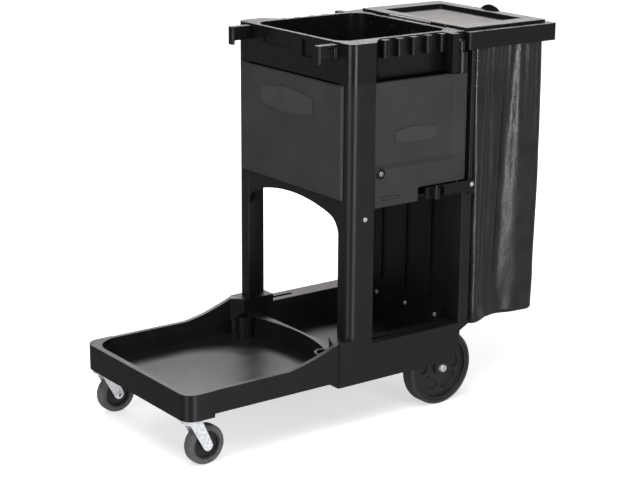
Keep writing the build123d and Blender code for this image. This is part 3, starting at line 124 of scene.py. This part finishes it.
def make_materials():
    """Every look of the cart, by a short name."""
    made = {}
    made["base"] = moulded("black_moulding", (0.0085, 0.0078, 0.0082), 0.33, 0.05, 0.00009, 0.0007)
    made["gloss"] = moulded("black_gloss", (0.0052, 0.0048, 0.0052), 0.27, 0.05, 0.00006, 0.0005)
    made["panel"] = moulded("satin_panel", (0.030, 0.0272, 0.0282), 0.42, 0.05, 0.00016, 0.0004)
    made["badge"] = moulded("satin_plate", (0.041, 0.038, 0.039), 0.36, 0.04, 0.00008, 0.0002)
    # Painted shade: a darker, rougher copy of the black moulding stands in for the shade inside the cabinet
    # bay; the cabinet floor, rear panel and frame bolts wear it.
    made["deep"] = moulded("black_inside_painted_shade", (0.0042, 0.0038, 0.0040), 0.45, 0.06, 0.00009, 0.0007)
    made["lid"] = moulded("lid_gloss", (0.009, 0.0085, 0.0085), 0.33, 0.05, 0.00008, 0.0005)

    vinyl = Paint("bag_vinyl", (0.010, 0.0094, 0.0098), 0.30, IOR=1.5, Specular_IOR_Level=0.75)
    vinyl.vary("Roughness", vinyl.noise(14, 6), 0.20, 0.34)
    vinyl.vary("Base Color", vinyl.noise(7, 4), (0.007, 0.0066, 0.0070), (0.014, 0.0132, 0.0136))
    vinyl.bump(vinyl.cells(15, (1, 1, 0.5)), 0.0030)
    vinyl.bump(vinyl.cells(34, (1, 1, 0.7)), 0.0011)
    vinyl.bump(vinyl.noise(60, 4, (1, 1, 0.5), 1.2), 0.0009)
    vinyl.bump(vinyl.noise(1100, 2), 0.00007)
    made["vinyl"] = vinyl.material

    zinc = Paint("bright_zinc", (0.84, 0.87, 0.90), 0.26, Metallic=0.25)
    zinc.vary("Roughness", zinc.noise(160, 5), 0.20, 0.36)
    zinc.vary("Base Color", zinc.noise(60, 4), (0.78, 0.81, 0.85), (0.92, 0.94, 0.96))
    zinc.bump(zinc.noise(900, 2), 0.00004)
    made["zinc"] = zinc.material

    steel = Paint("plated_steel", (0.68, 0.68, 0.70), 0.3, Metallic=0.6)
    steel.vary("Roughness", steel.noise(200, 4, (1, 8, 1)), 0.22, 0.42)
    steel.bump(steel.noise(700, 2, (1, 6, 1)), 0.00003)
    made["steel"] = steel.material

    chrome = Paint("lock_chrome", (0.82, 0.82, 0.84), 0.1, Metallic=1.0)
    chrome.vary("Roughness", chrome.noise(300, 3), 0.06, 0.18)
    made["chrome"] = chrome.material

    made["hub"] = moulded("wheel_plastic", (0.017, 0.016, 0.017), 0.42, 0.06, 0.0001, 0.0002)
    made["solid_tyre"] = moulded("wheel_rubber", (0.030, 0.029, 0.030), 0.42, 0.06, 0.0001, 0.0002)

    tyre = Paint("tyre_rubber", (0.09, 0.09, 0.092), 0.62)
    tyre.vary("Base Color", tyre.noise(120, 6), (0.065, 0.065, 0.067), (0.115, 0.115, 0.117))
    tyre.vary("Roughness", tyre.noise(90, 4), 0.55, 0.75)
    tyre.bump(tyre.noise(1300, 3), 0.0001)
    made["tyre"] = tyre.material
    return made


MATERIALS = make_materials()

NODE_LOOKS = {
    "base": ["base_tray", "front_column", "rear_column", "front_arch"],
    # These parts wear the darker black that paints shade on them.
    "deep": ["cabinet_floor", "rear_panel", "frame_bolts"],
    "gloss": ["upper_bin", "bag_frame", "tool_comb", "front_hook", "hinge_bracket", "lock_housing"],
    "lid": ["lid"],
    "panel": ["front_panel", "door_left", "door_right"],
    "badge": ["front_badge", "door_badge"],
    "zinc": ["caster_mount", "caster_fork", "caster_axle"],
    "steel": ["hinge_pins", "lid_hinge_rod", "rear_axle", "column_screws", "clip_screws",
              "panel_screws", "push_nut", "lock_cam"],
    "chrome": ["lock_plug"],
    "hub": ["rear_wheel", "caster_hub"],
    "solid_tyre": ["rear_tyre"],
    "tyre": ["caster_tyre"],
    "vinyl": ["waste_bag"],
}
EDGE_RADIUS = {
    "base": 2.2 * MM, "gloss": 2.4 * MM, "deep": 1.0 * MM, "solid_tyre": 1.5 * MM, "lid": 1.5 * MM,
    "panel": 1.6 * MM, "badge": 0.6 * MM, "zinc": 0.8 * MM, "steel": 0.5 * MM, "chrome": 0.4 * MM,
    "hub": 1.2 * MM, "tyre": 1.0 * MM,
}
JOIN_DISTANCE = 0.002 * MM
FLAT_ANGLE = math.radians(0.5)
SHARP_ANGLE = math.radians(35)


def look_of(node):
    """The look that a CAD node wears."""
    for look, stems in NODE_LOOKS.items():
        if any(node == stem or node in (stem + "_left", stem + "_right") for stem in stems):
            return look
    raise ValueError(f"{node} has no look")


def dress(obj, look):
    """Gives an object its material."""
    obj.data.materials.clear()
    obj.data.materials.append(MATERIALS[look])


def soften_edges(obj, radius):
    """Rounds a CAD node's sharp edges with modifiers. Its own mesh stays as it is."""
    mesh = obj.data
    if mesh.attributes.get("custom_normal"):
        mesh.attributes.remove(mesh.attributes["custom_normal"])
    mesh.polygons.foreach_set("use_smooth", [True] * len(mesh.polygons))
    weld = obj.modifiers.new("join", "WELD")
    weld.merge_threshold = JOIN_DISTANCE
    flat = obj.modifiers.new("flats", "DECIMATE")
    flat.decimate_type = "DISSOLVE"
    flat.angle_limit = FLAT_ANGLE
    bevel = obj.modifiers.new("edges", "BEVEL")
    bevel.limit_method = "ANGLE"
    bevel.angle_limit = SHARP_ANGLE
    bevel.width = radius
    bevel.segments = 2
    bevel.harden_normals = True


for node_name, node_object in NODES.items():
    kind = look_of(node_name)
    dress(node_object, kind)
    if kind in EDGE_RADIUS:
        soften_edges(node_object, EDGE_RADIUS[kind])


# ------------------------------------------------------------------ mesh helpers
def mesh_from(name, points, faces):
    """A new mesh."""
    mesh = bpy.data.meshes.new(name)
    mesh.from_pydata([tuple(point) for point in points], [], faces)
    mesh.update()
    return mesh


def add_modifier(obj, kind, **values):
    """Adds a modifier and sets its values."""
    modifier = obj.modifiers.new(kind.lower(), kind)
    for key, value in values.items():
        setattr(modifier, key, value)


def apply_modifiers(obj):
    """Replaces the object's mesh by what its modifiers give."""
    bpy.context.view_layer.update()
    graph = bpy.context.evaluated_depsgraph_get()
    mesh = bpy.data.meshes.new_from_object(obj.evaluated_get(graph))
    obj.modifiers.clear()
    obj.data = mesh


# ------------------------------------------------------------------ waste bag
BAG_LOW, BAG_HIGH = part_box("waste_bag")
BAG_GROWTH = 0.07
BAG_STEP = 0.0100
BAG_INSET = 0.003
BAG_FLARE = 0.018
BAG_CORNER = 0.016
BAG_REAR_CORNER = 0.024
BAG_FRAMES = 45
BAG_REACH = 0.020
BAG_THICKNESS = 0.0006
BAG_HEM = 0.002
BAG_BOTTOM_LIFT = 0.012
BAG_BOTTOM_SAG = 0.004
BAG_BOTTOM_RINGS = 9
FOLD_DEPTH = 0.0085
NARROW_FOLD_DEPTH = 0.0018
GATHER_DEPTH = 0.0026
CREASE_DEPTH = 0.0030
GATHER_START = 0.78
FOLD_SHARPNESS = 0.97
BAG_FRONT_ROOM = 0.002
BAG_REAR_ROOM = 0.012
BAG_TOP_ROOM = 0.001
FRAME_ROOM = 0.004


def rounded_loop(x0, x1, y0, y1, front, rear, step):
    """Evenly spaced points round a rectangle with rounded corners, from the middle of its rear side."""
    corners = [(x1 - rear, y1 - rear, 0, rear), (x0 + front, y1 - front, 90, front),
               (x0 + front, y0 + front, 180, front), (x1 - rear, y0 + rear, 270, rear)]
    outline = [Vector((x1, (y0 + y1) / 2))]
    for cx, cy, start, radius in corners:
        for turn in range(0, 91, 10):
            angle = math.radians(start + turn)
            outline.append(Vector((cx + radius * math.cos(angle), cy + radius * math.sin(angle))))
    outline.append(outline[0].copy())
    lengths = [0.0]
    for a, b in zip(outline, outline[1:]):
        lengths.append(lengths[-1] + (b - a).length)
    count = 4 * round(lengths[-1] / step / 4)
    xs = np.interp(np.arange(count) * lengths[-1] / count, lengths, [p.x for p in outline])
    ys = np.interp(np.arange(count) * lengths[-1] / count, lengths, [p.y for p in outline])
    return np.stack([xs, ys], axis=1)


def bag_shell():
    """The bag before it sags: upright walls and a closed bottom that steps in ring by ring."""
    x0, x1 = BAG_LOW.x + BAG_INSET, BAG_HIGH.x - BAG_INSET
    y0, y1 = BAG_LOW.y + BAG_INSET, BAG_HIGH.y - BAG_INSET
    loop = rounded_loop(x0, x1, y0, y1, BAG_CORNER, BAG_REAR_CORNER, BAG_STEP)
    count = len(loop)
    middle = np.array([(x0 + x1) / 2, (y0 + y1) / 2])
    bottom = BAG_LOW.z + BAG_BOTTOM_LIFT
    rows = round((BAG_HIGH.z - BAG_HEM - bottom) / BAG_STEP)
    heights = np.linspace(BAG_HIGH.z - BAG_HEM, bottom, rows + 1)
    points = []
    for z in heights:
        points += [(x, y, z) for x, y in loop]
    for ring in range(1, BAG_BOTTOM_RINGS):
        share = 1 - ring / BAG_BOTTOM_RINGS
        sink = bottom - BAG_BOTTOM_SAG * math.sin(math.pi * min(1, ring / 2) / 2)
        points += [(*(middle + (xy - middle) * share), sink) for xy in loop]
    points.append((*middle, bottom - BAG_BOTTOM_SAG))
    total = rows + BAG_BOTTOM_RINGS
    faces = []
    for row in range(total - 1):
        for i in range(count):
            j = (i + 1) % count
            faces.append((row * count + i, (row + 1) * count + i, (row + 1) * count + j, row * count + j))
    last = (total - 1) * count
    faces += [(last + i, len(points) - 1, last + (i + 1) % count) for i in range(count)]
    return points, faces, count


def zigzag(turn):
    """A sine wave with straight flanks, from -1 to 1."""
    return math.asin(FOLD_SHARPNESS * math.sin(turn)) / math.asin(FOLD_SHARPNESS)


def fold_push(x, y, z):
    """How far the bag stands out of its plain shape, from its gathers, long folds and slanted creases."""
    height = (z - BAG_LOW.z) / (BAG_HIGH.z - BAG_LOW.z)
    wander = noise.noise(Vector((x * 5, y * 5, z * 1.6 + 3)))
    lean = 0.9 * (1 - height)
    long_fold = zigzag(28 * (x - y) - 0.7 + 1.3 * wander - lean)
    narrow_fold = zigzag(71 * (x - y) + 2.2 * wander + 1.7 * lean)
    gather = math.sin(190 * (x - y) + 6 * wander) * max(0.0, height - GATHER_START) / (1 - GATHER_START)
    patches = 0.35 + 0.65 * noise.noise(Vector((x * 8, y * 8, z * 5)))
    crease = zigzag(52 * x + 52 * y + 38 * z + 5 * wander) * patches
    depth = 0.45 + 0.55 * min(1.0, (1 - height) * 5)
    folds = depth * (FOLD_DEPTH * long_fold + NARROW_FOLD_DEPTH * narrow_fold)
    return folds + GATHER_DEPTH * gather + CREASE_DEPTH * crease * (1 - height)


def make_bag():
    """The vinyl bag: its shell with folds pushed in, then sagged by the simulation."""
    points, faces, count = bag_shell()
    middle = Vector(((BAG_LOW.x + BAG_HIGH.x) / 2, 0, 0))
    moved = []
    for x, y, z in points:
        outward = Vector((x, y, 0)) - middle
        outward = outward.normalized() if outward.length > 1e-6 else Vector((0, 0, 0))
        push = fold_push(x, y, z)
        flare = BAG_FLARE * max(0.0, outward.x) * (1 - (z - BAG_LOW.z) / (BAG_HIGH.z - BAG_LOW.z))
        moved.append((x + outward.x * push + flare, y + outward.y * push, z))
    mesh = mesh_from("waste_bag_vinyl", moved, faces)
    bag = bpy.data.objects.new("waste_bag_vinyl", mesh)
    bpy.context.scene.collection.objects.link(bag)
    simulate_bag(bag, count)
    limit_bag(bag, np.array(moved))
    return bag


def simulate_bag(bag, count):
    """Lets the vinyl grow by a few percent with its top held, so that it buckles into folds as it hangs."""
    held = bag.vertex_groups.new(name="held")
    held.add(list(range(count)), 1.0, "REPLACE")
    cloth = bag.modifiers.new("cloth", "CLOTH")
    settings = cloth.settings
    settings.quality = 6
    settings.mass = 0.35
    settings.tension_stiffness = 25
    settings.compression_stiffness = 25
    settings.shear_stiffness = 12
    settings.bending_stiffness = 0.6
    settings.vertex_group_mass = "held"
    settings.shrink_min = -BAG_GROWTH
    settings.use_pressure = True
    settings.uniform_pressure_force = 0.25
    settings.air_damping = 3
    cloth.collision_settings.use_collision = False
    cloth.point_cache.frame_start = 1
    cloth.point_cache.frame_end = BAG_FRAMES
    scene = bpy.context.scene
    for step in range(1, BAG_FRAMES + 1):
        scene.frame_set(step)
    apply_modifiers(bag)
    scene.frame_set(1)


def limit_bag(bag, rest):
    """Keeps the folds near the bag's own room and off its neighbours."""
    mesh = bag.data
    now = np.empty(len(mesh.vertices) * 3)
    mesh.vertices.foreach_get("co", now)
    now = now.reshape(-1, 3)
    shift = now - rest
    length = np.linalg.norm(shift, axis=1, keepdims=True)
    scale = np.where(length > 1e-9, BAG_REACH * np.tanh(length / BAG_REACH) / np.maximum(length, 1e-9), 1.0)
    now = rest + shift * scale
    now[:, 0] = np.maximum(now[:, 0], BAG_LOW.x - BAG_FRONT_ROOM)
    now[:, 2] = np.minimum(now[:, 2], BAG_HIGH.z - BAG_TOP_ROOM)
    frame_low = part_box("bag_frame")[0].z
    inside = now[:, 2] > frame_low - FRAME_ROOM
    now[inside, 0] = np.clip(now[inside, 0], BAG_LOW.x, BAG_HIGH.x + BAG_REAR_ROOM)
    now[inside, 1] = np.clip(now[inside, 1], BAG_LOW.y, BAG_HIGH.y)
    mesh.vertices.foreach_set("co", now.ravel())
    mesh.update()


bag = make_bag()
dress(bag, "vinyl")
bag.data.polygons.foreach_set("use_smooth", [True] * len(bag.data.polygons))
add_modifier(bag, "SUBSURF", levels=1, render_levels=1)
add_modifier(bag, "SOLIDIFY", thickness=BAG_THICKNESS, offset=0)
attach(bag, "cart")
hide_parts("waste_bag")


# ------------------------------------------------------------------ floor, light and camera
CAMERA_PLACE = Vector((-2.5807, -3.4773, 1.6484))
CAMERA_YAW = 36.49
CAMERA_PITCH = 15.70
CAMERA_ROLL = 0.415
CAMERA_LENS = 95.99
FLOOR_REACH = 14
FLOOR_GLOW = {"From Min": 0.9, "From Max": 2.6, "To Min": 0.62, "To Max": 1.1}


def make_camera():
    """The camera, turned by its yaw, pitch and roll."""
    yaw, pitch, roll = (math.radians(value) for value in (CAMERA_YAW, CAMERA_PITCH, CAMERA_ROLL))
    forward = Vector((math.sin(yaw) * math.cos(pitch), math.cos(yaw) * math.cos(pitch), -math.sin(pitch)))
    right = Vector((math.cos(yaw), -math.sin(yaw), 0))
    up = right.cross(forward)
    right, up = (
        right * math.cos(roll) + up * math.sin(roll),
        up * math.cos(roll) - right * math.sin(roll),
    )
    data = bpy.data.cameras.new("camera")
    data.lens = CAMERA_LENS
    data.sensor_width = 36
    data.clip_end = 60
    camera = bpy.data.objects.new("camera", data)
    bpy.context.scene.collection.objects.link(camera)
    turn = Matrix((right, up, -forward)).transposed()
    camera.matrix_world = Matrix.Translation(CAMERA_PLACE) @ turn.to_4x4()
    bpy.context.scene.camera = camera


def softbox(name, place, aim, width, height, power, colour=(1, 1, 1)):
    """A rectangular area light at a place, turned towards its aim."""
    data = bpy.data.lights.new(name, "AREA")
    data.shape = "RECTANGLE"
    data.size = width
    data.size_y = height
    data.energy = power
    data.color = colour
    light = bpy.data.objects.new(name, data)
    bpy.context.scene.collection.objects.link(light)
    light.location = place
    light.rotation_mode = "QUATERNION"
    light.rotation_quaternion = (Vector(aim) - Vector(place)).to_track_quat("-Z", "Y")


def make_floor():
    """A pale floor that glows more the further it lies from the cart, so that it ends in white."""
    corners = [(-FLOOR_REACH, -FLOOR_REACH, 0), (FLOOR_REACH, -FLOOR_REACH, 0), (FLOOR_REACH, FLOOR_REACH, 0),
               (-FLOOR_REACH, FLOOR_REACH, 0)]
    mesh = mesh_from("floor", corners, [(0, 1, 2, 3)])
    floor = bpy.data.objects.new("floor", mesh)
    bpy.context.scene.collection.objects.link(floor)
    paint = Paint("pale_floor", (0.86, 0.86, 0.86), 0.9)
    paint.shader.inputs["Emission Color"].default_value = (1, 1, 1, 1)
    length = paint.tree.nodes.new("ShaderNodeVectorMath")
    length.operation = "LENGTH"
    paint.tree.links.new(paint.place, length.inputs[0])
    spread = paint.tree.nodes.new("ShaderNodeMapRange")
    for socket, value in FLOOR_GLOW.items():
        spread.inputs[socket].default_value = value
    paint.tree.links.new(length.outputs["Value"], spread.inputs["Value"])
    paint.tree.links.new(spread.outputs["Result"], paint.shader.inputs["Emission Strength"])
    mesh.materials.append(paint.material)
    floor.visible_glossy = False


# Where the room that the reflections see is lit: a direction, where its edge starts and ends, and its colour.
ROOM_LIGHTS = [
    ((0.50, -0.80, -0.25), 0.0, 0.9, (0.185, 0.180, 0.195)),
    ((0.20, -0.94, -0.27), 0.965, 0.997, (0.60, 0.58, 0.62)),
    ((0.99, -0.06, -0.06), 0.955, 0.995, (0.42, 0.32, 0.27)),
    ((-0.90, -0.34, -0.27), 0.982, 0.999, (3.0, 2.9, 3.3)),
    ((-0.08, -0.96, -0.27), 0.982, 0.999, (4.4, 4.2, 4.5)),
    ((-0.57, 0.77, -0.27), 0.5, 1.0, (0.055, 0.051, 0.052)),
]
ROOM_DIM = (0.085, 0.082, 0.082)


def make_world():
    """White to look at, but a dim room with a few lit places for reflections."""
    world = bpy.data.worlds.new("studio")
    world.use_nodes = True
    tree = world.node_tree
    tree.nodes.clear()
    output = tree.nodes.new("ShaderNodeOutputWorld")
    mix = tree.nodes.new("ShaderNodeMixShader")
    path = tree.nodes.new("ShaderNodeLightPath")
    seen = tree.nodes.new("ShaderNodeBackground")
    seen.inputs["Color"].default_value = (1, 1, 1, 1)
    room = tree.nodes.new("ShaderNodeBackground")
    place = tree.nodes.new("ShaderNodeTexCoord").outputs["Generated"]
    total = None
    for direction, start, end, colour in ROOM_LIGHTS:
        dot = tree.nodes.new("ShaderNodeVectorMath")
        dot.operation = "DOT_PRODUCT"
        dot.inputs[1].default_value = Vector(direction).normalized()
        tree.links.new(place, dot.inputs[0])
        ramp = tree.nodes.new("ShaderNodeValToRGB")
        ramp.color_ramp.elements[0].position = start
        ramp.color_ramp.elements[0].color = (0, 0, 0, 1)
        ramp.color_ramp.elements[1].position = end
        ramp.color_ramp.elements[1].color = (*colour, 1)
        tree.links.new(dot.outputs["Value"], ramp.inputs["Fac"])
        add = tree.nodes.new("ShaderNodeVectorMath")
        add.operation = "ADD"
        add.inputs[1].default_value = ROOM_DIM
        tree.links.new(ramp.outputs["Color"], add.inputs[0])
        if total is not None:
            tree.links.new(total, add.inputs[1])
        total = add.outputs["Vector"]
    tree.links.new(total, room.inputs["Color"])
    tree.links.new(path.outputs["Is Camera Ray"], mix.inputs["Fac"])
    tree.links.new(room.outputs[0], mix.inputs[1])
    tree.links.new(seen.outputs[0], mix.inputs[2])
    tree.links.new(mix.outputs[0], output.inputs["Surface"])
    bpy.context.scene.world = world


make_camera()
make_floor()
make_world()
softbox("back_high", (2.4, 3.3, 2.9), (0.1, 0, 0.6), 4.2, 1.4, 95, (1, 0.97, 0.96))
softbox("back_low", (2.9, 3.9, 1.1), (0, 0, 0.5), 4.0, 1.2, 12, (1, 0.93, 0.88))
softbox("top", (-1.2, -1.1, 3.5), (0, 0, 0.5), 3.0, 2.6, 95)
softbox("strip_left", (-3.9, -0.5, 1.3), (0, 0, 0.6), 0.30, 2.4, 32)
softbox("strip_right", (0.2, -4.4, 1.3), (0, 0, 0.6), 0.35, 2.6, 45)
bpy.context.scene.view_settings.view_transform = "Standard"
